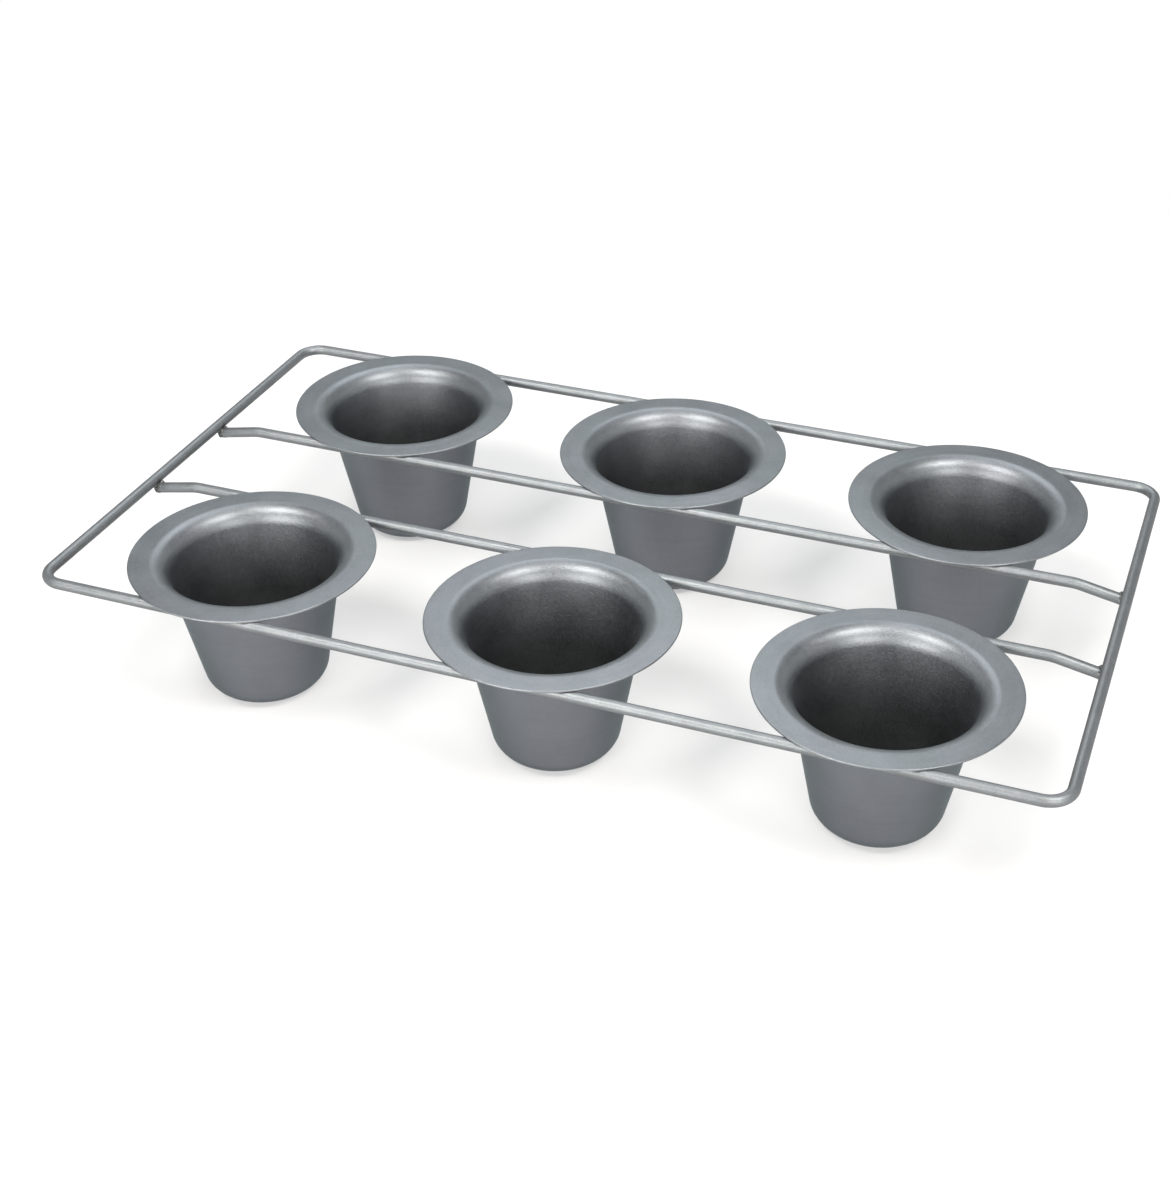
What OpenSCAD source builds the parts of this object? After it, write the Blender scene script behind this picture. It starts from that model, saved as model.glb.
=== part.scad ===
// Popover pan: six deep tapered cups, carried by their flanges in a welded frame of round wire.
// Millimetres, +Z up. The origin lies on the table below the middle of the frame, +X runs along
// the long side and -Y is the front.

/* [Cups] */
// Height from the table to the top of the flange
cup_h = 56.5; // [50:0.5:64]
// Outside diameter of the base, taken at the sharp corner
base_d = 45.2; // [40:0.2:50]
// Outside diameter of the wall where it would meet the top of the flange
mouth_d = 66.9; // [62:0.1:70]
// Thickness of the drawn sheet
sheet_t = 0.8; // [0.6:0.1:1.2]
// Radius of the bend from the wall into the flange, on the inside of the cup
mouth_r = 6; // [4:0.5:8]
// Radius of the corner between the base and the wall, on the outside
base_r = 9; // [5:0.5:11]
// Width of the flat flange outside the bend
flange_w = 8.6; // [7:0.1:10]

/* [Layout] */
// Distance between the centres of neighbouring cups in a row
cup_pitch = 121.8; // [108:0.2:135]
// Distance between the centre lines of the two rows
row_pitch = 128.6; // [112:0.2:145]
// Gap from the rim of an end cup to the middle of the side wire
end_gap = 21.9; // [18:0.1:30]

/* [Wire frame] */
// Diameter of the frame wire
wire_d = 4.2; // [3.6:0.1:5]
// Radius of the corners of the loop, at the middle of the wire
corner_r = 9; // [6:0.5:14]
// Distance from the bend of a cup to the middle of the wires that carry it
wire_seat = 2; // [1.5:0.1:3]
// Straight length of a cross wire between the rim of an end cup and its bend
bend_after = 0.8; // [0.5:0.1:3]
// Radius of the bend near each end of a cross wire, at the middle of the wire
bend_r = 22; // [12:1:30]
// How far past the middle of the side wire the end of a cross wire reaches
tip_past = 0.2; // [-0.5:0.1:1]

/* [Welds] */
// How deep a side wire is pressed into the end of a cross wire
end_weld_sink = 0.5; // [0.3:0.1:0.8]
// Diameter of the metal squeezed out round the end of a cross wire
end_weld_d = 4.8; // [4:0.1:5.4]
// Height of the metal squeezed out round the end of a cross wire
end_weld_h = 1.8; // [1.2:0.1:2.4]
// Thickness of weld metal between a flange and the top of a wire
spot_gap = 0.1; // [0.05:0.01:0.2]
// Diameter of a weld between a flange and a wire
spot_d = 4.6; // [4.2:0.1:5.4]
// Depth of a weld below the flange
spot_h = 1.2; // [0.8:0.1:1.6]
// Radius of the lower edge of a weld between a flange and a wire
spot_edge_r = 0.4; // [0.2:0.1:0.6]
// Distance along the wire from the rim of a cup to the middle of a weld
spot_inset = 8; // [5:0.5:12]
// Width of the flash at the joint that closes the loop
butt_w = 2.4; // [1.6:0.2:4]
// Height of that flash above the wire
butt_h = 0.4; // [0.3:0.1:0.8]
// Distance above the middle of the wire to which the flash is dressed off
butt_dress = 1; // [0.5:0.1:1.4]

/* [Hidden] */

$fn = 96;

// Places in a row and rows in the frame, as signs along X and Y
left = -1;
middle = 0;
right = 1;
front = -1;
rear = 1;

cup_colour = [0.46, 0.48, 0.49];
wire_colour = [0.56, 0.58, 0.59];
weld_colour = [0.34, 0.35, 0.35];

// The nearest tenth of a millimetre, which is how the frame is bent and laid out
function tenth(v) = round(v * 10) / 10;

// Lean of the wall from upright
wall_lean = atan((mouth_d - base_d) / 2 / cup_h);
// Outside radius of the wall at a height above the table
function wall_r(z) = base_d / 2 + z * tan(wall_lean);

// Middle of the bend at the mouth, in the plane of the cup's section
mouth_bend_z = cup_h - mouth_r;
mouth_bend_x = wall_r(mouth_bend_z) + (mouth_r - sheet_t) / cos(wall_lean);
// Middle of the corner at the base
base_bend_x = wall_r(base_r) - base_r / cos(wall_lean);
// Straight steps in the section of each bend
arc_steps = 12;

rim_r = tenth(mouth_bend_x + flange_w);
flange_under_z = cup_h - sheet_t;

// The wires run this far each side of a row's centre line, under the flat of the flanges
seat_r = tenth(mouth_bend_x + wire_seat);
wire_z = flange_under_z - spot_gap - wire_d / 2;
half_l = cup_pitch + rim_r + end_gap;
half_w = row_pitch / 2 + seat_r;
cross_y = row_pitch / 2 - seat_r;

// A cross wire bends down just outside the end cups, so that its end passes under the side wire.
// The sloped end is tangent to the bend and lies end_drop below the middle of the side wire.
bend_start = cup_pitch + rim_r + bend_after;
bend_run = half_l - bend_start;
end_drop = wire_d - end_weld_sink;
// The end is drawn a hair thinner than the bend and starts a little way inside it
end_d = wire_d - 0.1;
bend_lap = 0.5;
slope = asin((bend_r + end_drop) / norm([bend_run, bend_r])) - atan2(bend_r, bend_run);
slope_len = (bend_run + tip_past - bend_r * sin(slope)) / cos(slope);

// Middle of the face between a side wire and the end of a cross wire
face_drop = (wire_d - end_weld_sink) / 2;
end_weld_x = half_l - face_drop * sin(slope);
end_weld_z = wire_z - face_drop * cos(slope);

// Distance from a cup's centre, along the wire, to its welds
spot_x = tenth(sqrt(rim_r * rim_r - seat_r * seat_r) - spot_inset);

// Frame

module wire_x(x, y, len) {
    translate([x, y, wire_z])
        rotate([0, 90, 0])
            cylinder(d = wire_d, h = len);
}

module wire_y(x, y, len) {
    translate([x, y, wire_z])
        rotate([-90, 0, 0])
            cylinder(d = wire_d, h = len);
}

// One rod bent round four corners, its ends meeting at the middle of the rear side
module outer_loop() {
    straight_x = half_l - corner_r;
    straight_y = half_w - corner_r;
    color(wire_colour) {
        for (sy = [front, rear])
            wire_x(-straight_x, sy * half_w, 2 * straight_x);
        for (sx = [left, right])
            wire_y(sx * half_l, -straight_y, 2 * straight_y);
        for (quarter = [0:3]) {
            sx = (quarter == 0 || quarter == 3) ? right : left;
            sy = (quarter < 2) ? rear : front;
            translate([sx * straight_x, sy * straight_y, wire_z])
                rotate([0, 0, 90 * quarter])
                    rotate_extrude(angle = 90)
                        translate([corner_r, 0])
                            circle(d = wire_d);
        }
    }
}

// A low collar of flash, dressed off above and on the outer side of the wire
module loop_butt_weld() {
    ring_d = wire_d + 2 * butt_h;
    bevel = butt_h / 2;
    color(weld_colour)
        difference() {
            translate([0, half_w, wire_z])
                rotate([0, 90, 0])
                    rotate_extrude()
                        polygon([
                            [0, -butt_w / 2],
                            [ring_d / 2 - bevel, -butt_w / 2],
                            [ring_d / 2, bevel - butt_w / 2],
                            [ring_d / 2, butt_w / 2 - bevel],
                            [ring_d / 2 - bevel, butt_w / 2],
                            [0, butt_w / 2]
                        ]);
            wire_x(-butt_w, half_w, 2 * butt_w);
            translate([-butt_w, half_w - ring_d, wire_z + butt_dress])
                cube([2 * butt_w, 2 * ring_d, ring_d]);
            translate([-butt_w, half_w + butt_dress, wire_z - ring_d])
                cube([2 * butt_w, ring_d, 2 * ring_d]);
        }
}

// The part of a ring of wire between level and the slope
module wire_bend() {
    rotate([90, 0, 0])
        rotate_extrude(angle = slope, start = 90 - slope)
            translate([bend_r, 0])
                circle(d = wire_d);
}

module cross_wire(row) {
    color(wire_colour)
        difference() {
            union() {
                wire_x(-bend_start, row * cross_y, 2 * bend_start);
                for (flip = [0, 1])
                    mirror([flip, 0, 0])
                        translate([bend_start, row * cross_y, wire_z - bend_r]) {
                            wire_bend();
                            rotate([0, slope, 0])
                                translate([-bend_lap, 0, bend_r])
                                    rotate([0, 90, 0])
                                        cylinder(d = end_d, h = bend_lap + slope_len);
                        }
            }
            for (side = [left, right])
                wire_y(side * half_l, row * cross_y - wire_d, 2 * wire_d);
        }
}

module front_cross_wire() {
    cross_wire(front);
}

module rear_cross_wire() {
    cross_wire(rear);
}

// Metal squeezed out between a side wire and the end of the cross wire below it
module end_weld(side, row) {
    round_r = end_weld_h / 2;
    color(weld_colour)
        difference() {
            translate([side * end_weld_x, row * cross_y, end_weld_z])
                rotate_extrude() {
                    translate([0, -round_r])
                        square([end_weld_d / 2 - round_r, end_weld_h]);
                    translate([end_weld_d / 2 - round_r, 0])
                        intersection() {
                            circle(r = round_r);
                            translate([0, -end_weld_h])
                                square([end_weld_h, 2 * end_weld_h]);
                        }
                }
            wire_y(side * half_l, row * cross_y - end_weld_d, 2 * end_weld_d);
            cross_wire(row);
        }
}

module front_left_end_weld() {
    end_weld(left, front);
}

module front_right_end_weld() {
    end_weld(right, front);
}

module rear_left_end_weld() {
    end_weld(left, rear);
}

module rear_right_end_weld() {
    end_weld(right, rear);
}

// Cups

// Points along an arc, from one angle to another
function arc(centre, r, from, to) =
    [for (i = [0:arc_steps]) centre + r * [cos(from + (to - from) * i / arc_steps),
                                           sin(from + (to - from) * i / arc_steps)]];

// Half the section of a cup: along its outside from the middle of the base to the rim, and back
// along its inside
module cup_section() {
    base_bend = [base_bend_x, base_r];
    mouth_bend = [mouth_bend_x, mouth_bend_z];
    polygon(concat(
        [[0, 0]],
        arc(base_bend, base_r, -90, -wall_lean),
        arc(mouth_bend, mouth_r - sheet_t, 180 - wall_lean, 90),
        [[rim_r, flange_under_z], [rim_r, cup_h]],
        arc(mouth_bend, mouth_r, 90, 180 - wall_lean),
        arc(base_bend, base_r - sheet_t, -wall_lean, -90),
        [[0, sheet_t]]
    ));
}

module cup(place, row) {
    color(cup_colour)
        translate([place * cup_pitch, row * row_pitch / 2, 0])
            rotate_extrude()
                cup_section();
}

module front_left_cup() {
    cup(left, front);
}

module front_middle_cup() {
    cup(middle, front);
}

module front_right_cup() {
    cup(right, front);
}

module rear_left_cup() {
    cup(left, rear);
}

module rear_middle_cup() {
    cup(middle, rear);
}

module rear_right_cup() {
    cup(right, rear);
}

// Welds between cups and wires

// Half the section of a weld, from the flange down
module spot_section() {
    translate([0, -spot_h])
        square([spot_d / 2 - spot_edge_r, spot_h]);
    translate([0, spot_edge_r - spot_h])
        square([spot_d / 2, spot_h - spot_edge_r]);
    translate([spot_d / 2 - spot_edge_r, spot_edge_r - spot_h])
        circle(r = spot_edge_r);
}

// Four welds hold a cup: two on the outer wire of its row and two on the cross wire
module cup_welds(place, row) {
    x = place * cup_pitch;
    color(weld_colour)
        for (wire = [front, rear]) {
            y = row * row_pitch / 2 + wire * seat_r;
            for (side = [left, right])
                difference() {
                    translate([x + side * spot_x, y, flange_under_z])
                        rotate_extrude()
                            spot_section();
                    wire_x(x - rim_r, y, 2 * rim_r);
                }
        }
}

module front_left_cup_welds() {
    cup_welds(left, front);
}

module front_middle_cup_welds() {
    cup_welds(middle, front);
}

module front_right_cup_welds() {
    cup_welds(right, front);
}

module rear_left_cup_welds() {
    cup_welds(left, rear);
}

module rear_middle_cup_welds() {
    cup_welds(middle, rear);
}

module rear_right_cup_welds() {
    cup_welds(right, rear);
}

outer_loop();
loop_butt_weld();
front_cross_wire();
rear_cross_wire();
front_left_end_weld();
front_right_end_weld();
rear_left_end_weld();
rear_right_end_weld();
front_left_cup();
front_middle_cup();
front_right_cup();
rear_left_cup();
rear_middle_cup();
rear_right_cup();
front_left_cup_welds();
front_middle_cup_welds();
front_right_cup_welds();
rear_left_cup_welds();
rear_middle_cup_welds();
rear_right_cup_welds();
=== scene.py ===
from math import asin, atan, atan2, cos, hypot, pi, radians, sin, tan, tau

import bpy
import numpy as np
from mathutils import Matrix, Vector


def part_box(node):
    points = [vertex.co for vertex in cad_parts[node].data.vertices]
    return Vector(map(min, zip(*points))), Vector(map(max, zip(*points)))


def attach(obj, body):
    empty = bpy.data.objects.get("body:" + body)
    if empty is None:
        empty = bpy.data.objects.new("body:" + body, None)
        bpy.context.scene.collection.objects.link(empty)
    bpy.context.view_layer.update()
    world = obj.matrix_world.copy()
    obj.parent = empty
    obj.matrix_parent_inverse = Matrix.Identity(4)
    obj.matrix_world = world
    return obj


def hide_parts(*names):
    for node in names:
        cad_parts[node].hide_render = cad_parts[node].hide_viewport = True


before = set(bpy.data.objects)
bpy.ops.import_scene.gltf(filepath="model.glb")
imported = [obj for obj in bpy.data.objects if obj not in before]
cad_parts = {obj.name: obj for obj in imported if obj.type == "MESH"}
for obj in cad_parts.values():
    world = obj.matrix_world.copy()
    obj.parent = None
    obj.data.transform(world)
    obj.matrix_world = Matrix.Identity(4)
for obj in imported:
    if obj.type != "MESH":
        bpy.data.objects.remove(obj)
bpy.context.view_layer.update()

# Metres, with the table at height zero, the long side along X and the front towards -Y. Sizes are
# those of the solids, where the bend at the mouth is one plain arc.
MM = 0.001
ROWS = {"front": -1, "rear": 1}
PLACES = {"left": -1, "middle": 0, "right": 1}

# Cups
SHEET = 0.8 * MM
WALL_FOOT_R = 22.6 * MM
WALL_HEAD_R = 33.45 * MM
FLANGE_END_BEND_R = 6.25 * MM
WALL_END_BEND_R = 12 * MM
BASE_BEND_R = 9 * MM
RIM_EDGE_R = 0.3 * MM
FIRST_RING_R = 0.8 * MM
AFTER_BEND = 0.7 * MM
AFTER_RIM = 0.5 * MM
CUP_SIDES = 224
WAVE_DROP = 0.16 * MM
WAVE_FROM = 0.8
WAVE_START_BY_ROW = 1.7
WAVE_START_BY_PLACE = 2.3

# Frame wire
WIRE_R = 2.1 * MM
LOOP_CORNER_R = 9 * MM
CROSS_Y = 24.7 * MM
CROSS_BEND_FROM = 168.8 * MM
CROSS_BEND_R = 22 * MM
CROSS_END_DROP = 3.7 * MM
CROSS_PAST_SIDE = 0.2 * MM
CROSS_END_ROUND = 1 * MM
BURNT_LENGTH = 4.5 * MM
BURNT_LUMPS = 0.06
LOOP_BURNT = 0.8
WIRE_SIDES = 32

# Welds. The last two give one end weld's beads as centre and radii in mm from the middle of its
# node, the centre's x inwards.
CUP_WELD_X = 15.8 * MM
CUP_WELD_SINK = 0.35 * MM
CUP_WELD_RADII = (2.5 * MM, 2.4 * MM, 0.8 * MM)
SEAT_Y = 39.6 * MM
FLASH_HEIGHT = 0.45 * MM
FLASH_SINK = 0.03 * MM
END_WELD_INWARDS = 0.35 * MM
END_WELD_FILL = (0.84, 0.94, 1.1)
REAR_BEAD = ((2.35, 0.9, 0.45), (0.75, 0.95, 0.75))
FRONT_BEAD = ((2.1, -1.2, 0.1), (0.6, 0.8, 0.6))


# Meshes

def new_piece(name, corners, faces, material, node):
    """Make a smooth mesh object, at the origin, that stands for one CAD node."""
    mesh = bpy.data.meshes.new(name)
    mesh.from_pydata(corners, [], faces)
    mesh.shade_smooth()
    mesh.materials.append(material)
    piece = bpy.data.objects.new(name, mesh)
    bpy.context.scene.collection.objects.link(piece)
    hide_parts(node)
    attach(piece, "root")
    return piece


def set_number(piece, name, values):
    """Keep one number for each corner of the mesh, for its material to read."""
    piece.data.attributes.new(name, "FLOAT", "POINT").data.foreach_set("value", values.ravel())


def on_rings(numbers, sides):
    """One number for each ring of a closed surface, given to all of its corners, and to its
    poles those of the rings beside them."""
    return np.concatenate([np.repeat(numbers, sides), numbers[[0, -1]]])


def closed_surface(rings, start_pole, end_pole, first=0):
    """Corners and faces of a closed surface through rings of points, shape (rings, sides, 3).

    Neighbouring rings are joined by quads, and each end is closed by triangles to its pole. Faces
    point outwards where the sides go round anticlockwise, seen from beyond the end pole.
    """
    count, sides = rings.shape[:2]
    ring, side = np.meshgrid(np.arange(count - 1), np.arange(sides), indexing="ij")
    right = (side + 1) % sides
    here, ahead = first + ring * sides, first + (ring + 1) * sides
    quads = np.stack([here + side, here + right, ahead + right, ahead + side], -1)
    start, end = first + count * sides, first + count * sides + 1
    near, far = first + np.arange(sides), first + (count - 1) * sides + np.arange(sides)
    start_fan = np.stack([np.full(sides, start), np.roll(near, -1), near], -1)
    end_fan = np.stack([np.full(sides, end), far, np.roll(far, -1)], -1)
    corners = np.concatenate([rings.reshape(-1, 3), [start_pole, end_pole]])
    return corners, quads.reshape(-1, 4).tolist() + start_fan.tolist() + end_fan.tolist()


def several_surfaces(surfaces):
    """One list of corners and one of faces for several closed surfaces, given as closed_surface
    takes them."""
    corners, faces, first = [], [], 0
    for rings, start_pole, end_pole in surfaces:
        more_corners, more_faces = closed_surface(rings, start_pole, end_pole, first)
        corners.append(more_corners)
        faces += more_faces
        first += len(more_corners)
    return np.concatenate(corners), faces


def arc(centre, radius, start, stop, steps):
    """Points on a circle: centre + radius * (cos, sin) of evenly spaced angles, in radians."""
    angle = np.linspace(start, stop, steps + 1)
    return np.array(centre) + radius * np.stack([np.cos(angle), np.sin(angle)], -1)


def line(start, stop, steps):
    """Evenly spaced points from start up to, but not including, stop."""
    share = np.linspace(0, 1, steps, endpoint=False)[:, None]
    return np.array(start) * (1 - share) + np.array(stop) * share


def running_length(path):
    """Distance of each point of a path from its start, measured along the path."""
    return np.concatenate([[0], np.cumsum(np.linalg.norm(np.diff(path, axis=0), axis=1))])


def ripple(points, size, seed, waves=24):
    """Smooth unevenness between about -1 and 1 at each point.

    The mean of many sine waves, each with its own random direction and phase, and with a length
    between half and twice the given size, scaled by the square root of their number.
    """
    dice = np.random.default_rng(seed)
    direction = dice.normal(size=(waves, 3))
    direction /= np.linalg.norm(direction, axis=1, keepdims=True)
    length = size * 2 ** dice.uniform(-1, 1, waves)
    phase = dice.uniform(0, tau, waves)
    return np.sin(points @ (tau * direction / length[:, None]).T + phase).sum(-1) / np.sqrt(waves)


# Cups

def mouth_bend(lean, height):
    """The inner face of the bend at the mouth, from the flange down to the wall, with its slopes.

    The sheet turns through every slope from level to the wall's and eases into the wall: radius of
    bend = flange end + (wall end - flange end) * share^3. Each step adds
    radius * step of slope * (-cos(slope), -sin(slope)), and the bend is put where it meets the
    wall's line.
    """
    slope = np.linspace(0, pi / 2 - lean, 49)
    middle, step = (slope[1:] + slope[:-1]) / 2, slope[1]
    share = np.linspace(0, 1, len(middle))
    radius = FLANGE_END_BEND_R + (WALL_END_BEND_R - FLANGE_END_BEND_R) * share ** 3
    moves = -radius[:, None] * step * np.stack([np.cos(middle), np.sin(middle)], -1)
    path = np.concatenate([[(0, 0)], np.cumsum(moves, axis=0)])
    run, drop = -path[-1]
    wall_r = WALL_FOOT_R + (height - drop) * tan(lean) - SHEET / cos(lean)
    return path + (wall_r + run, height), slope


def cup_section(rim_r, height):
    """The section of the sheet as (radius, height) points, from the middle of the base outwards.

    Corner, wall, bend at the mouth, underside of the flange, round the rim and back along the
    inside. The wall leans outwards by atan((head radius - foot radius) / height), and the corner
    is an arc tangent to it.
    """
    lean = atan((WALL_HEAD_R - WALL_FOOT_R) / height)
    base_bend = (WALL_FOOT_R + BASE_BEND_R * (tan(lean) - 1 / cos(lean)), BASE_BEND_R)
    mouth, slope = mouth_bend(lean, height)
    edge_x = rim_r - RIM_EDGE_R
    outside = [
        line((FIRST_RING_R, 0), (base_bend[0], 0), steps=10),
        arc(base_bend, BASE_BEND_R, -pi / 2, -lean, steps=16),
        (mouth + SHEET * np.stack([np.sin(slope), -np.cos(slope)], -1))[::-1],
    ]
    rim = [
        line((mouth[0, 0] + AFTER_BEND, height - SHEET), (edge_x, height - SHEET), steps=8),
        arc((edge_x, height - SHEET + RIM_EDGE_R), RIM_EDGE_R, -pi / 2, 0, steps=5),
        arc((edge_x, height - RIM_EDGE_R), RIM_EDGE_R, 0, pi / 2, steps=5),
        line((edge_x - AFTER_RIM, height), mouth[0], steps=9),
    ]
    inside = [
        mouth,
        arc(base_bend, BASE_BEND_R - SHEET, -lean, -pi / 2, steps=16),
        line((base_bend[0] - AFTER_BEND, SHEET), (0, SHEET), steps=10),
    ]
    return np.concatenate([
        spread_wall(np.concatenate(outside)),
        np.concatenate(rim),
        spread_wall(np.concatenate(inside)),
    ])


def spread_wall(half):
    """Divide the one long step of half a section into shorter ones."""
    wall = int(np.linalg.norm(np.diff(half, axis=0), axis=1).argmax())
    return np.insert(half, wall + 1, line(half[wall], half[wall + 1], steps=24)[1:], axis=0)


def make_cup(row, place, material):
    """Turn the section about the cup's upright axis, and let the flange run very slightly uneven.

    As thin sheet does once it has been trimmed and welded, the flange drops by
    out * WAVE_DROP * (1 + cos(2 * turn + start)) / 2, where out is the square of a number that
    grows evenly from 0 at WAVE_FROM of the rim's radius to 1 at the rim.
    """
    node = f"{row}_{place}_cup"
    low, high = (np.array(corner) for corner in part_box(node))
    centre_x, centre_y = (low + high)[:2] / 2
    rim_r, height = (high[0] - low[0]) / 2, high[2]
    section = cup_section(rim_r, height)
    radius, turn = np.meshgrid(
        section[:, 0], np.linspace(0, tau, CUP_SIDES, endpoint=False), indexing="ij"
    )
    start = WAVE_START_BY_ROW * ROWS[row] + WAVE_START_BY_PLACE * PLACES[place]
    out = np.clip((radius / rim_r - WAVE_FROM) / (1 - WAVE_FROM), 0, 1) ** 2
    drop = WAVE_DROP * out * (1 + np.cos(2 * turn + start)) / 2
    rings = np.stack([
        centre_x + radius * np.cos(turn),
        centre_y + radius * np.sin(turn),
        section[:, 1][:, None] - drop,
    ], -1)
    corners, faces = closed_surface(rings, (centre_x, centre_y, 0), (centre_x, centre_y, SHEET))
    piece = new_piece(f"{node}_shell", corners, faces, material, node)
    along = running_length(section)
    set_number(piece, "from_rim", on_rings(along - along[section[:, 0].argmax()], CUP_SIDES))


# Frame

def tube_rings(path, sideways, radius):
    """Rings of points round a path.

    Each ring is centre + radius * (cos(turn) * sideways + sin(turn) * upwards), where sideways is
    one fixed direction square to the path and upwards is square to both.
    """
    forward = np.gradient(path, axis=0)
    forward /= np.linalg.norm(forward, axis=1, keepdims=True)
    upwards = np.cross(forward, sideways)
    turn = np.linspace(0, tau, WIRE_SIDES, endpoint=False)[:, None]
    radius = np.broadcast_to(radius, (len(path),))[:, None, None]
    ring = np.cos(turn) * np.array(sideways) + np.sin(turn) * upwards[:, None]
    return path[:, None] + radius * ring


def make_loop(material):
    """One wire round the frame: four straights joined by quarter circles, its ends butted at the
    middle of the rear side.

    It is burnt by LOOP_BURNT less distance / BURNT_LENGTH, where distance is the one along a side
    wire from the end of a cross wire, plus the height over the wire's middle.
    """
    low, high = (np.array(corner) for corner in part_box("outer_loop"))
    half_x, half_y = high[0] - WIRE_R - LOOP_CORNER_R, high[1] - WIRE_R - LOOP_CORNER_R
    wire_z = (low[2] + high[2]) / 2
    corners = [(-half_x, half_y), (-half_x, -half_y), (half_x, -half_y), (half_x, half_y)]
    plan = []
    before = (0, half_y + LOOP_CORNER_R)
    for number, corner in enumerate(corners):
        start = pi / 2 * (number + 1)
        bend = arc(corner, LOOP_CORNER_R, start, start + pi / 2, steps=24)
        plan += [line(before, bend[0], steps=60), bend[:-1]]
        before = bend[-1]
    plan.append(line(before, (0, half_y + LOOP_CORNER_R), steps=60))
    plan = np.concatenate(plan + [[(0, half_y + LOOP_CORNER_R)]])
    path = np.column_stack([plan, np.full(len(plan), wire_z)])
    rings = tube_rings(path, (0, 0, 1), WIRE_R)
    corners, faces = closed_surface(rings, path[0], path[-1])
    piece = new_piece("outer_loop_wire", corners, faces, material, "outer_loop")
    from_weld = np.abs(np.abs(corners[:, 1]) - CROSS_Y) + np.clip(corners[:, 2] - wire_z, 0, None)
    on_side = np.abs(corners[:, 0]) > half_x
    set_number(piece, "burnt", on_side * np.clip(LOOP_BURNT - from_weld / BURNT_LENGTH, 0, 1))


def cross_wire_path(row, wire_z, side_x):
    """Level under the flanges, then an arc downwards near each end and a straight slope that ends
    just past the middle of the side wire, below it."""
    run = side_x - CROSS_BEND_FROM
    slope = asin((CROSS_BEND_R + CROSS_END_DROP) / hypot(run, CROSS_BEND_R))
    slope -= atan2(CROSS_BEND_R, run)
    centre = (CROSS_BEND_FROM, wire_z - CROSS_BEND_R)
    bend = arc(centre, CROSS_BEND_R, pi / 2, pi / 2 - slope, steps=12)
    length = (run + CROSS_PAST_SIDE - CROSS_BEND_R * sin(slope)) / cos(slope)
    tip = bend[-1] + length * np.array([cos(slope), -sin(slope)])
    right = np.concatenate([
        line((0, wire_z), bend[0], steps=80),
        bend[:-1],
        line(bend[-1], tip, steps=70),
        [tip],
    ])
    left = right[:0:-1] * (-1, 1)
    x, z = np.concatenate([left, right]).T
    return np.column_stack([x, np.full(len(x), ROWS[row] * CROSS_Y), z])


def make_cross_wire(row, wire_z, side_x, material):
    """A wire carried along its path, with rounded ends that are lumpy with weld metal.

    Over CROSS_END_ROUND the radius falls by 0.4 * (1 - distance from the end / CROSS_END_ROUND)^2.5
    of itself, and over BURNT_LENGTH it is made uneven by BURNT_LUMPS * ripple of itself, growing
    from nothing to its full size half way to the end.
    """
    path = cross_wire_path(row, wire_z, side_x)
    along = running_length(path)
    from_end = np.minimum(along, along[-1] - along)
    radius = WIRE_R * (1 - 0.4 * np.clip(1 - from_end / CROSS_END_ROUND, 0, 1) ** 2.5)
    rings = tube_rings(path, (0, 1, 0), radius)
    burnt = np.clip(1 - from_end / BURNT_LENGTH, 0, 1)
    lumps = np.minimum(1, 2 * burnt)[:, None] * ripple(rings, 1.6 * MM, 60 + ROWS[row])
    rings += BURNT_LUMPS * lumps[..., None] * (rings - path[:, None])
    corners, faces = closed_surface(rings, path[0], path[-1])
    node = f"{row}_cross_wire"
    piece = new_piece(f"{node}_rod", corners, faces, material, node)
    set_number(piece, "burnt", on_rings(burnt, WIRE_SIDES))


# Welds

def lump(centre, radii, uneven, seed, rows=28, sides=40):
    """A closed lump of metal: an ellipsoid whose radius is uneven by a ripple.

    A point is centre + radii * direction * (1 + uneven * ripple of the direction).
    """
    polar, turn = np.meshgrid(
        np.linspace(0, pi, rows + 2)[1:-1],
        np.linspace(0, tau, sides, endpoint=False),
        indexing="ij",
    )
    direction = np.stack([
        np.sin(polar) * np.cos(turn), np.sin(polar) * np.sin(turn), -np.cos(polar)
    ], -1)
    poles = np.array([(0, 0, -1), (0, 0, 1)])

    def placed(way):
        return centre + np.array(radii) * way * (1 + uneven * ripple(way, 1.2, seed))[..., None]

    return placed(direction), *placed(poles)


def make_end_weld(row, side, material):
    """Burnt metal squeezed out between a side wire and the end of a cross wire below it: one
    flattened lump, and two beads where it ran out into the inner corners."""
    node = f"{row}_{side}_end_weld"
    low, high = (np.array(corner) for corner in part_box(node))
    centre, half = (low + high) / 2, (high - low) / 2
    seed = 10 * ROWS[row] + PLACES[side] + 40
    inwards = (-PLACES[side], 1, 1)
    middle = centre + np.multiply(inwards, (END_WELD_INWARDS, 0, 0))
    surfaces = [lump(middle, half * END_WELD_FILL, uneven=0.12, seed=seed)]
    for place, radii in (REAR_BEAD, FRONT_BEAD):
        spot = centre + np.multiply(inwards, place) * MM
        bead = lump(spot, np.array(radii) * MM, uneven=0.2, seed=seed + len(surfaces))
        surfaces.append(bead)
    corners, faces = several_surfaces(surfaces)
    new_piece(f"{node}_crust", corners, faces, material, node)


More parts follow.
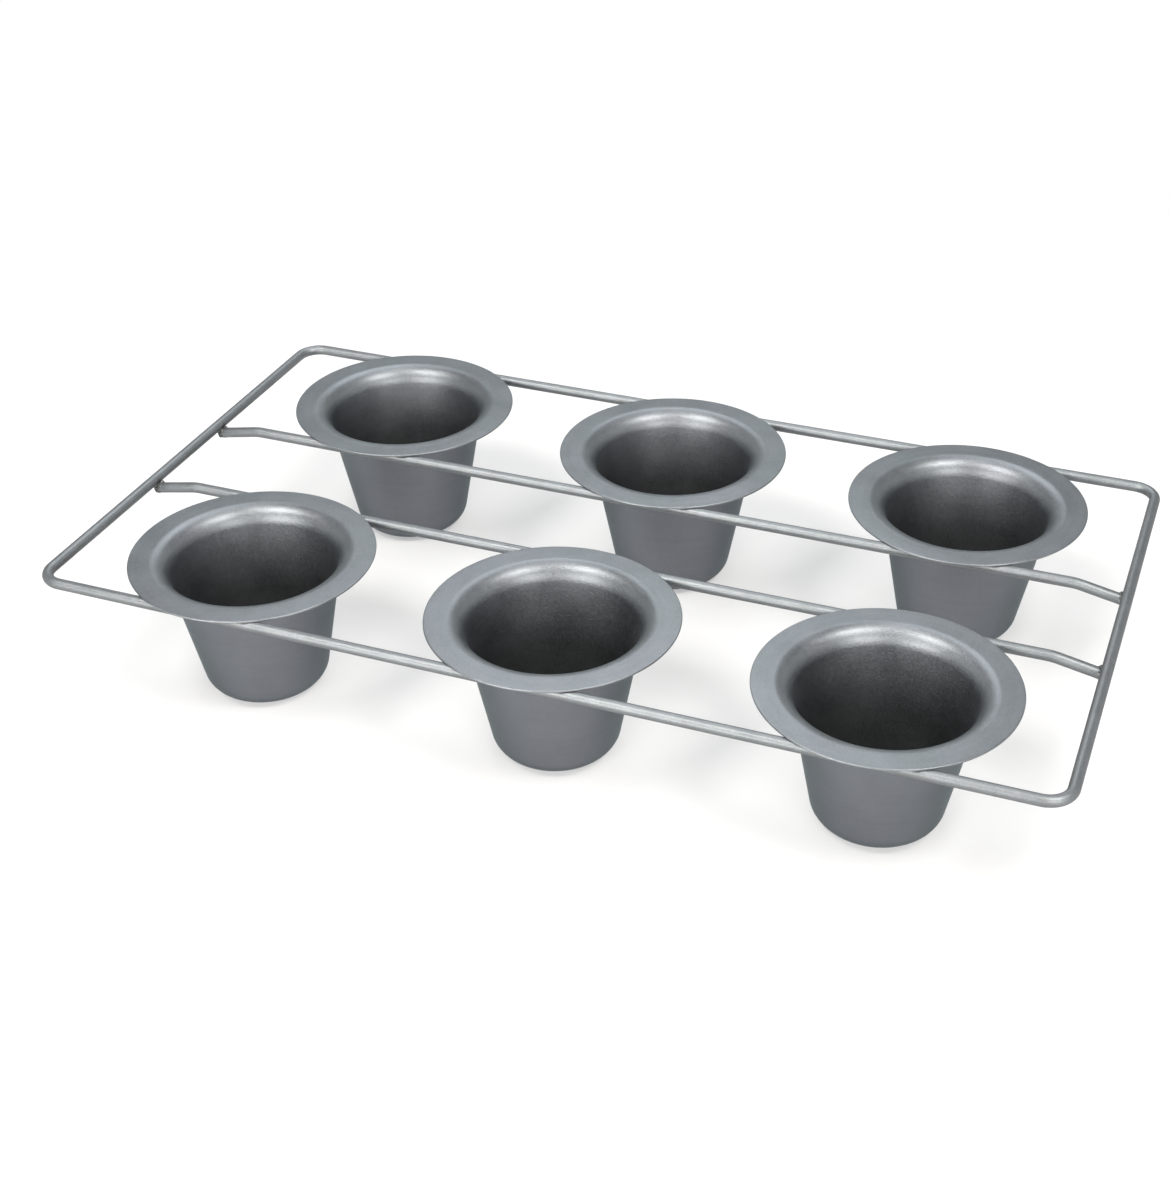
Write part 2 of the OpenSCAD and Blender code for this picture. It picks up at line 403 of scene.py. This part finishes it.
def make_cup_welds(row, place, material):
    """Four small welds between a flange and its two wires."""
    node = f"{row}_{place}_cup_welds"
    low, high = (np.array(corner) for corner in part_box(node))
    centre, top = (low + high) / 2, high[2]
    surfaces = []
    for wire in (-1, 1):
        for side in (-1, 1):
            spot = (
                centre[0] + side * CUP_WELD_X, centre[1] + wire * SEAT_Y, top - CUP_WELD_SINK
            )
            seed = 7 * len(surfaces) + 31 * (PLACES[place] + 1) + 3 * ROWS[row] + 90
            surfaces.append(lump(spot, CUP_WELD_RADII, uneven=0.08, seed=seed))
    corners, faces = several_surfaces(surfaces)
    new_piece(f"{node}_beads", corners, faces, material, node)


def make_butt_weld(material):
    """The flash left where the two ends of the loop were joined, on the lower inner side.

    Its radius is the wire's, less FLASH_SINK, plus FLASH_HEIGHT * (1 - (distance from the joint /
    half width)^4) * the square root of how far the surface faces down and inwards, made uneven by
    a ripple.
    """
    low, high = (np.array(corner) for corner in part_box("loop_butt_weld"))
    loop_low, loop_high = (np.array(corner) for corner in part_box("outer_loop"))
    middle = np.array([0, loop_high[1] - WIRE_R, (loop_low[2] + loop_high[2]) / 2])
    half = (high[0] - low[0]) / 2
    x = np.linspace(-half, half, 25)
    path = middle + np.column_stack([x, np.zeros((len(x), 2))])
    way = tube_rings(path, (0, 1, 0), 1.0) - path[:, None]
    facing = np.clip(0.15 - (way[..., 1] + way[..., 2]) / np.sqrt(2), 0, 1)
    bulge = FLASH_HEIGHT * (1 - (x / half) ** 4)[:, None] * facing ** 0.5
    bulge *= 0.85 + 0.15 * ripple(path[:, None] + WIRE_R * way, 1.5 * MM, 5)
    rings = path[:, None] + way * (WIRE_R - FLASH_SINK + bulge)[..., None]
    corners, faces = closed_surface(rings, path[0], path[-1])
    new_piece("loop_butt_weld_flash", corners, faces, material, "loop_butt_weld")


# Finishes

class Value:
    """What comes out of a node. Arithmetic on it adds Math nodes, so a formula reads as one."""

    def __init__(self, nodes, socket):
        self.nodes = nodes
        self.socket = socket

    def __add__(self, other):
        return self.nodes.maths("ADD", self, other)

    def __sub__(self, other):
        return self.nodes.maths("SUBTRACT", self, other)

    def __rsub__(self, other):
        return self.nodes.maths("SUBTRACT", other, self)

    def __mul__(self, other):
        return self.nodes.maths("MULTIPLY", self, other)

    __radd__ = __add__
    __rmul__ = __mul__


class Nodes:
    """The nodes of one material or of the surround."""

    def __init__(self, tree):
        self.tree = tree
        tree.nodes.clear()

    def node(self, kind, settings, inputs, output=0):
        """Add a node, give it its settings, then the values or links of its inputs. What comes out
        of it is handed over, if anything does."""
        node = self.tree.nodes.new(kind)
        for name, setting in settings.items():
            setattr(node, name, setting)
        for name, value in inputs.items():
            if isinstance(value, Value):
                self.tree.links.new(value.socket, node.inputs[name])
            else:
                node.inputs[name].default_value = value
        return Value(self, node.outputs[output]) if node.outputs else None

    def maths(self, operation, *numbers):
        return self.node("ShaderNodeMath", {"operation": operation}, dict(enumerate(numbers)))

    def vector_maths(self, operation, inputs, output=0):
        return self.node("ShaderNodeVectorMath", {"operation": operation}, inputs, output)

    def between(self, number, low, high):
        """0 up to low, 1 from high on, and a smooth rise between the two."""
        return self.node(
            "ShaderNodeMapRange",
            {"interpolation_type": "SMOOTHSTEP"},
            {"Value": number, "From Min": low, "From Max": high},
        )

    def mix(self, share, colour, other):
        """One colour where share is 0, the other where it is 1."""
        return self.node(
            "ShaderNodeMix",
            {"data_type": "RGBA"},
            {0: share, 6: colour, 7: other},
            output=2,
        )

    def seen_rays(self):
        """1 for rays from the camera, and for those that a shiny or clear surface sends on."""
        camera, glossy, through = (
            self.node("ShaderNodeLightPath", {}, {}, f"Is {kind} Ray")
            for kind in ("Camera", "Glossy", "Transmission")
        )
        return self.maths("MAXIMUM", self.maths("MAXIMUM", camera, glossy), through)


class Finish(Nodes):
    """A material that is put together from nodes."""

    def __init__(self, name):
        self.material = bpy.data.materials.new(name)
        self.material.use_nodes = True
        super().__init__(self.material.node_tree)
        self.place = self.node("ShaderNodeTexCoord", {}, {}, "Object")

    def noise(self, size, detail=2.0, place=None):
        """Soft noise about 0.5, whose patches are as wide as size."""
        return self.node(
            "ShaderNodeTexNoise",
            {},
            {"Vector": place or self.place, "Scale": 1 / size, "Detail": detail},
        )

    def cells(self, size):
        """A random number between 0 and 1 for each of many cells as wide as size."""
        return self.node(
            "ShaderNodeTexVoronoi", {}, {"Vector": self.place, "Scale": 1 / size}, "Color"
        )

    def rings_along(self, distance, width):
        """A place that hardly changes round the piece and moves on by 1 for each width along it."""
        along = self.node("ShaderNodeCombineXYZ", {}, {"X": distance * (1 / width)})
        round_it = self.vector_maths("SCALE", {0: self.place, "Scale": 12.0})
        return self.vector_maths("ADD", {0: along, 1: round_it})

    def number(self, name):
        """A number kept at the mesh's corners."""
        return self.node("ShaderNodeAttribute", {"attribute_name": name}, {}, "Fac")

    def shade(self, height, depth, **inputs):
        """Finish with the one shader, its surface raised by height * depth."""
        normal = self.node("ShaderNodeBump", {}, {"Height": height, "Distance": depth})
        inputs = {name.replace("_", " "): value for name, value in inputs.items()}
        return self.done(self.node("ShaderNodeBsdfPrincipled", {}, {**inputs, "Normal": normal}))

    def done(self, shader):
        """Let a shader be the surface, and hand over the material."""
        self.node("ShaderNodeOutputMaterial", {}, {"Surface": shader})
        return self.material


def grey(level, red=1.0, green=1.0, blue=1.0):
    """A grey of this level, with its red, green and blue each a little more or less."""
    return (level * red, level * green, level * blue, 1)


def wandering_ground(finish, tone, patch, dark, light, cold, warm):
    """A coat between two levels of grey by tone, whose tint wanders between cold and warm over
    patches of this size."""
    tint = finish.noise(patch, 1.0)
    return finish.mix(tone, *(
        finish.mix(tint, grey(level, *cold), grey(level, *warm)) for level in (dark, light)
    ))


def coated_sheet():
    """Satin metallic grey coating on drawn sheet.

    Bright flakes in a mottled ground that wanders between a green and a violet grey, faint turned
    rings that follow the section, a darker grey down inside that is painted shade (the coat is also
    duller there), a darker grey on the outer wall that is painted shade with a violet tint, and a
    slightly brighter edge where the rim was trimmed. It is darker and greener where it is seen at
    a flat angle.
    """
    finish = Finish("satin_grey_coat_on_sheet")
    from_rim = finish.number("from_rim")
    flakes = finish.cells(0.55 * MM)
    grain = finish.noise(0.7 * MM, 3.0)
    clouds = finish.noise(12 * MM, 3.0)
    rings = finish.noise(1, 2.0, finish.rings_along(from_rim, 2.2 * MM))
    # Painted shade inside the cup: 0 within 20 mm of the rim, rising to 1 from 50 mm down the
    # inside. The same mask makes the coat a little rougher there.
    painted_shade_inside = finish.between(from_rim, 20 * MM, 50 * MM)
    # Painted shade on the outer wall: 0 within 10 mm of the rim, rising to 1 from 20 mm down the
    # outside.
    outside = finish.between(-1 * from_rim, 10 * MM, 20 * MM)
    edge = 1 - finish.between(finish.maths("ABSOLUTE", from_rim), 0.15 * MM, 0.5 * MM)

    tone = 0.5 + 0.9 * (clouds - 0.5) + 0.45 * (flakes - 0.5)
    tone = tone + 0.7 * (grain - 0.5) + 0.5 * (rings - 0.5)
    ground = wandering_ground(
        finish, tone, 34 * MM, 0.176, 0.256, (0.925, 1.0, 1.035), (0.975, 1.0, 1.085)
    )
    # Painted shade: down inside the cup the coat goes towards a dark grey.
    ground = finish.mix(0.65 * painted_shade_inside, ground, grey(0.09, 1.02, 1.0, 0.96))
    # Painted shade: the outer wall goes towards a darker grey. Its violet tint is the coat's own
    # colour.
    ground = finish.mix(0.55 * outside, ground, grey(0.14, 0.95, 1.0, 1.16))
    colour = finish.mix(0.2 * edge, ground, grey(0.42))
    return finish.shade(
        height=0.3 * flakes + 0.5 * grain + 0.2 * rings,
        depth=0.08 * MM,
        Base_Color=colour,
        Metallic=1.0,
        Specular_Tint=grey(0.6, 0.9, 1.0, 0.98),
        Roughness=0.43 + 0.1 * (flakes - 0.5) + 0.08 * (clouds - 0.5) + 0.06 * painted_shade_inside,
    )


def coated_wire():
    """The same coating on wire: grainier, and scorched at the welds."""
    finish = Finish("satin_grey_coat_on_wire")
    flakes = finish.cells(0.5 * MM)
    grain = finish.noise(0.55 * MM, 3.0)
    clouds = finish.noise(8 * MM, 3.0)
    tone = 0.5 + 0.7 * (clouds - 0.5) + 0.4 * (flakes - 0.5) + 0.9 * (grain - 0.5)
    ground = wandering_ground(
        finish, tone, 30 * MM, 0.17, 0.28, (0.93, 1.0, 1.02), (0.97, 1.0, 1.05)
    )
    burnt = finish.number("burnt")
    scorch = finish.between(burnt + 1.2 * (grain - 0.5), 0.25, 0.75)
    return finish.shade(
        height=0.5 * flakes + 0.8 * grain + 1.5 * scorch * grain,
        depth=0.04 * MM,
        Base_Color=finish.mix(0.8 * scorch, ground, grey(0.055, 1.0, 1.05, 0.95)),
        Metallic=1.0,
        Specular_Tint=grey(0.6),
        Roughness=0.47 + 0.14 * (flakes - 0.5) + 0.15 * scorch,
    )


def coated_weld():
    """Scorched weld metal under a thin coat: dark, dull and rough."""
    finish = Finish("dull_coat_on_weld")
    crust = finish.noise(0.8 * MM, 4.0)
    colour = finish.mix(finish.between(crust, 0.35, 0.7), grey(0.05, 0.95, 1.05, 1.0), grey(0.24))
    return finish.shade(
        height=crust,
        depth=0.25 * MM,
        Base_Color=colour,
        Metallic=0.7,
        Roughness=0.6 + 0.2 * (crust - 0.5),
    )


# Studio

PAN_MIDDLE = (0, 0, 0.05)
FLOOR_R = 6
FLOOR_SIDES = 96
FLOOR_DROP = 0.2 * MM
CAMERA_AT = (0.22171, -0.57255, 0.42884)
CAMERA_TURN = radians(20.77)
CAMERA_DIP = radians(33.51)
CAMERA_ROLL = radians(-0.42)
FOCUS_PIXELS = 1874.6
MIDDLE_PIXEL = (628.65, 600.88)
PHOTO_PIXELS = (1169, 1200)


def make_camera():
    """The photograph's view, from the place and direction at which the frame's wires line up."""
    data = bpy.data.cameras.new("photo_camera")
    data.sensor_width = 36
    data.lens = FOCUS_PIXELS / max(PHOTO_PIXELS) * data.sensor_width
    data.shift_x = (PHOTO_PIXELS[0] / 2 - MIDDLE_PIXEL[0]) / max(PHOTO_PIXELS)
    data.shift_y = (MIDDLE_PIXEL[1] - PHOTO_PIXELS[1] / 2) / max(PHOTO_PIXELS)
    data.clip_start = 0.01
    data.clip_end = 50
    camera = bpy.data.objects.new("photo_camera", data)
    turn = Matrix.Rotation(CAMERA_TURN, 4, "Z")
    dip = Matrix.Rotation(pi / 2 - CAMERA_DIP, 4, "X")
    roll = Matrix.Rotation(CAMERA_ROLL, 4, "Z")
    camera.matrix_world = Matrix.Translation(CAMERA_AT) @ turn @ dip @ roll
    bpy.context.scene.collection.objects.link(camera)
    bpy.context.scene.camera = camera


WARM = (1.0, 0.98, 0.94)
COOL = (0.95, 0.99, 1.0)

# Each lamp's direction round the pan in degrees, from the rear towards the right, its angle above
# the table in degrees, its distance, size, brightness of its face where the white surround has 1,
# and colour.
SOFTBOXES = {
    "right_front_softbox": (135, 17, 0.9, (0.42, 0.36), 6.5, WARM),
    "left_front_softbox": (196, 14, 0.9, (0.62, 0.36), 7.0, WARM),
    "high_right_softbox": (111, 57, 1.2, (0.4, 0.4), 18.0, WARM),
    "high_left_softbox": (216, 58, 1.2, (0.46, 0.42), 17.0, WARM),
    "high_rear_softbox": (-22, 51, 1.2, (0.7, 0.5), 3.8, COOL),
    "overhead_softbox": (0, 82, 1.2, (0.8, 0.6), 1.3, COOL),
}


def make_softbox(name, turn, height, distance, size, brightness, colour):
    """A rectangular lamp that faces the pan, and that the camera doesn't see."""
    turn, height = radians(turn), radians(height)
    data = bpy.data.lights.new(name, "AREA")
    data.shape = "RECTANGLE"
    data.size, data.size_y = size
    data.energy = brightness * pi * size[0] * size[1]
    data.color = colour
    lamp = bpy.data.objects.new(name, data)
    way = Vector((sin(turn) * cos(height), cos(turn) * cos(height), sin(height)))
    lamp.location = Vector(PAN_MIDDLE) + distance * way
    lamp.rotation_euler = way.to_track_quat("Z", "Y").to_euler()
    lamp.visible_camera = False
    bpy.context.scene.collection.objects.link(lamp)


def make_surround():
    """A white surround that is greyer overhead, and 0.4 times as strong where it only lights
    things."""
    world = bpy.data.worlds.new("white_surround")
    bpy.context.scene.world = world
    world.use_nodes = True
    studio = Nodes(world.node_tree)
    way = studio.node("ShaderNodeTexCoord", {}, {}, "Generated")
    up = studio.node("ShaderNodeSeparateXYZ", {}, {0: way}, "Z")
    colour = studio.mix(studio.between(up, 0.3, 0.6), grey(1), grey(0.4, 0.97, 1.0, 1.04))
    strength = 0.4 + 0.6 * studio.seen_rays()
    light = studio.node("ShaderNodeBackground", {}, {"Color": colour, "Strength": strength})
    studio.node("ShaderNodeOutputWorld", {}, {"Surface": light})


def make_floor():
    """A wide disc that the pan stands on. It takes the pan's shadow, and shines white where it is
    looked at, by 0.4 near the pan and fully from 0.7 m on."""
    finish = Finish("white_floor")
    lit = finish.node("ShaderNodeBsdfDiffuse", {}, {"Color": grey(0.82)})
    bright = finish.node("ShaderNodeEmission", {}, {})
    apart = finish.vector_maths("LENGTH", {0: finish.place}, "Value")
    share = finish.seen_rays() * (0.4 + 0.6 * finish.between(apart, 0.3, 0.7))
    white = finish.done(finish.node("ShaderNodeMixShader", {}, {0: share, 1: lit, 2: bright}))
    rim = arc((0, 0), FLOOR_R, 0, tau, FLOOR_SIDES)[:-1]
    mesh = bpy.data.meshes.new("floor")
    corners = np.column_stack([rim, np.full(FLOOR_SIDES, -FLOOR_DROP)])
    mesh.from_pydata(corners, [], [list(range(FLOOR_SIDES))])
    mesh.materials.append(white)
    floor = bpy.data.objects.new("floor", mesh)
    bpy.context.scene.collection.objects.link(floor)


# The pan

sheet, wire, weld = coated_sheet(), coated_wire(), coated_weld()
loop_low, loop_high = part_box("outer_loop")
wire_z = (loop_low.z + loop_high.z) / 2
side_x = loop_high.x - WIRE_R
make_loop(wire)
make_butt_weld(weld)
for row in ROWS:
    make_cross_wire(row, wire_z, side_x, wire)
    for side in ("left", "right"):
        make_end_weld(row, side, weld)
    for place in PLACES:
        make_cup(row, place, sheet)
        make_cup_welds(row, place, weld)

make_camera()
make_surround()
make_floor()
for name, settings in SOFTBOXES.items():
    make_softbox(name, *settings)
bpy.context.scene.view_settings.view_transform = "Standard"
